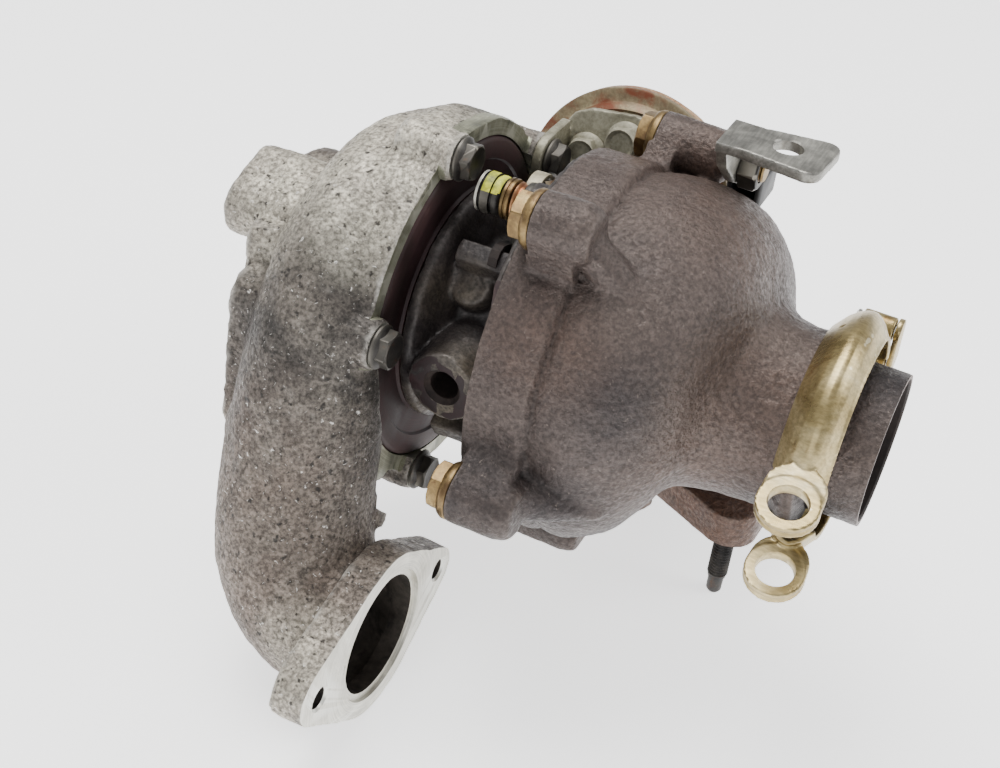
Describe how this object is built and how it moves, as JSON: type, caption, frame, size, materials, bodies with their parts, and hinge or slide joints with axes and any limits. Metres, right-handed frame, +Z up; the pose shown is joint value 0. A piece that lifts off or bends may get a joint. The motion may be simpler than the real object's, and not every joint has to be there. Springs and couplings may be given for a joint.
{
  "type": "turbocharger",
  "caption": "Variable-nozzle turbocharger with cast scroll housings, bearing housing, vacuum actuator and lever, clamp band on the outlet and support bracket.",
  "frame": {"origin": "middle of the bottom of the bounding box, on the plane the part stands on", "axes": "+X along the shaft towards the turbine outlet, +Z up away from the inlet studs"},
  "size_m": [0.199, 0.2362, 0.1656],
  "materials": {
    "cast_aluminium": "rough sand-cast, stained",
    "maroon_plate": "machined plate with a dark red-brown oxide",
    "black_iron": "black oil-stained casting",
    "rusted_iron": "purple-brown heat-oxidised casting",
    "dark_steel": "dark phosphated steel",
    "gold_zinc": "yellow passivated zinc",
    "band_zinc": "yellow passivated zinc, worn",
    "grey_steel": "dull grey zinc",
    "rusty_zinc": "yellow zinc with rust",
    "machined_steel": "bright machined",
    "wheel_aluminium": "milled",
    "bronze": "turned bronze",
    "cream_steel": "pale cream coating",
    "black_plastic": "black moulded"
  },
  "bodies": {
    "housing": {"compressor_housing": "cast_aluminium", "backplate": "maroon_plate", "compressor_bolt_1": "dark_steel", "compressor_bolt_2": "dark_steel", "compressor_bolt_3": "dark_steel", "compressor_bolt_4": "dark_steel", "compressor_bolt_5": "dark_steel", "bearing_housing": "black_iron", "thrust_plate": "bronze", "heat_shield": "grey_steel", "nozzle_ring": "dark_steel", "vacuum_nipple": "machined_steel", "can_front_shell": "rusty_zinc", "can_dome": "rusty_zinc", "actuator_bracket": "rusty_zinc", "actuator_nut_1": "rusty_zinc", "actuator_nut_2": "rusty_zinc", "actuator_nut_3": "rusty_zinc", "turbine_housing": "rusted_iron", "turbine_bolt_1": "gold_zinc", "turbine_bolt_2": "gold_zinc", "turbine_bolt_3": "gold_zinc", "turbine_bolt_4": "gold_zinc", "turbine_bolt_5": "gold_zinc", "inlet_stud_1": "dark_steel", "inlet_stud_2": "dark_steel", "inlet_stud_3": "dark_steel", "support_bracket": "grey_steel", "bracket_nut": "dark_steel", "band_link": "band_zinc", "band_pin_upper": "machined_steel", "band_pin_lower": "machined_steel", "sensor_plug": "black_plastic"},
    "rotor": {"compressor_wheel": "wheel_aluminium", "turbine_wheel_shaft": "machined_steel", "thrust_collar": "machined_steel", "shaft_nut": "machined_steel"},
    "front_bearing": {"journal_bearing_front": "bronze"},
    "rear_bearing": {"journal_bearing_rear": "bronze"},
    "control_ring": {"unison_ring": "dark_steel"},
    "crank": {"crank_shaft": "dark_steel", "crank_lever": "cream_steel", "crank_cap": "dark_steel", "gold_collar": "gold_zinc", "bronze_collar": "bronze"},
    "push_rod": {"actuator_rod": "machined_steel"},
    "upper_band": {"band_upper": "band_zinc"},
    "lower_band": {"band_lower": "band_zinc"},
    "vane_1": {"nozzle_vane_1": "dark_steel"},
    "vane_2": {"nozzle_vane_2": "dark_steel"},
    "vane_3": {"nozzle_vane_3": "dark_steel"},
    "vane_4": {"nozzle_vane_4": "dark_steel"},
    "vane_5": {"nozzle_vane_5": "dark_steel"},
    "vane_6": {"nozzle_vane_6": "dark_steel"},
    "vane_7": {"nozzle_vane_7": "dark_steel"},
    "vane_8": {"nozzle_vane_8": "dark_steel"},
    "vane_9": {"nozzle_vane_9": "dark_steel"}
  },
  "joints": [
    {"name": "rotor_spin", "type": "hinge", "parent": "housing", "child": "rotor", "pos_m": [-0.0375, 0.00185, 0.099], "axis": [1, 0, 0], "continuous": true},
    {"name": "front_bearing_spin", "type": "hinge", "parent": "housing", "child": "front_bearing", "pos_m": [-0.0375, 0.00185, 0.099], "axis": [1, 0, 0], "continuous": true},
    {"name": "rear_bearing_spin", "type": "hinge", "parent": "housing", "child": "rear_bearing", "pos_m": [-0.0375, 0.00185, 0.099], "axis": [1, 0, 0], "continuous": true},
    {"name": "control_ring_turn", "type": "hinge", "parent": "housing", "child": "control_ring", "pos_m": [-0.0375, 0.00185, 0.099], "axis": [1, 0, 0], "range_deg": [-8, 0]},
    {"name": "crank_turn", "type": "hinge", "parent": "housing", "child": "crank", "pos_m": [-0.0375, -0.00515, 0.144], "axis": [1, 0, 0], "range_deg": [0, 44.5]},
    {"name": "push_rod_slide", "type": "slide", "parent": "housing", "child": "push_rod", "axis": [0.0516, 0.9735, -0.2227], "range_m": [0, 0.0135]},
    {"name": "vane_1_turn", "type": "hinge", "parent": "housing", "child": "vane_1", "pos_m": [0.0025, 0.03335, 0.09834], "axis": [1, 0, 0], "range_deg": [-44.5, 0]},
    {"name": "vane_2_turn", "type": "hinge", "parent": "housing", "child": "vane_2", "pos_m": [0.0025, 0.0264, 0.11874], "axis": [1, 0, 0], "range_deg": [-44.5, 0]},
    {"name": "vane_3_turn", "type": "hinge", "parent": "housing", "child": "vane_3", "pos_m": [0.0025, 0.00797, 0.1299], "axis": [1, 0, 0], "range_deg": [-44.5, 0]},
    {"name": "vane_4_turn", "type": "hinge", "parent": "housing", "child": "vane_4", "pos_m": [0.0025, -0.01332, 0.1266], "axis": [1, 0, 0], "range_deg": [-44.5, 0]},
    {"name": "vane_5_turn", "type": "hinge", "parent": "housing", "child": "vane_5", "pos_m": [0.0025, -0.02752, 0.11039], "axis": [1, 0, 0], "range_deg": [-44.5, 0]},
    {"name": "vane_6_turn", "type": "hinge", "parent": "housing", "child": "vane_6", "pos_m": [0.0025, -0.02797, 0.08885], "axis": [1, 0, 0], "range_deg": [-44.5, 0]},
    {"name": "vane_7_turn", "type": "hinge", "parent": "housing", "child": "vane_7", "pos_m": [0.0025, -0.01447, 0.07206], "axis": [1, 0, 0], "range_deg": [-44.5, 0]},
    {"name": "vane_8_turn", "type": "hinge", "parent": "housing", "child": "vane_8", "pos_m": [0.0025, 0.00667, 0.06787], "axis": [1, 0, 0], "range_deg": [-44.5, 0]},
    {"name": "vane_9_turn", "type": "hinge", "parent": "housing", "child": "vane_9", "pos_m": [0.0025, 0.02555, 0.07825], "axis": [1, 0, 0], "range_deg": [-44.5, 0]},
    {"name": "upper_band_open", "type": "hinge", "parent": "housing", "child": "upper_band", "pos_m": [0.084, 0.03803, 0.11511], "axis": [-1, 0, 0], "range_deg": [0, 50]},
    {"name": "lower_band_open", "type": "hinge", "parent": "housing", "child": "lower_band", "pos_m": [0.084, 0.04124, 0.10314], "axis": [1, 0, 0], "range_deg": [0, 50]}
  ],
  "couplings": [
    {"joint": "front_bearing_spin", "follows": "rotor_spin", "ratio": 0.25},
    {"joint": "rear_bearing_spin", "follows": "rotor_spin", "ratio": 0.25},
    {"joint": "crank_turn", "follows": "control_ring_turn", "ratio": -5.5},
    {"joint": "push_rod_slide", "follows": "control_ring_turn", "m_per_rad": -0.092702},
    {"joint": "vane_1_turn", "follows": "control_ring_turn", "ratio": 5.5},
    {"joint": "vane_2_turn", "follows": "control_ring_turn", "ratio": 5.5},
    {"joint": "vane_3_turn", "follows": "control_ring_turn", "ratio": 5.5},
    {"joint": "vane_4_turn", "follows": "control_ring_turn", "ratio": 5.5},
    {"joint": "vane_5_turn", "follows": "control_ring_turn", "ratio": 5.5},
    {"joint": "vane_6_turn", "follows": "control_ring_turn", "ratio": 5.5},
    {"joint": "vane_7_turn", "follows": "control_ring_turn", "ratio": 5.5},
    {"joint": "vane_8_turn", "follows": "control_ring_turn", "ratio": 5.5},
    {"joint": "vane_9_turn", "follows": "control_ring_turn", "ratio": 5.5}
  ]
}
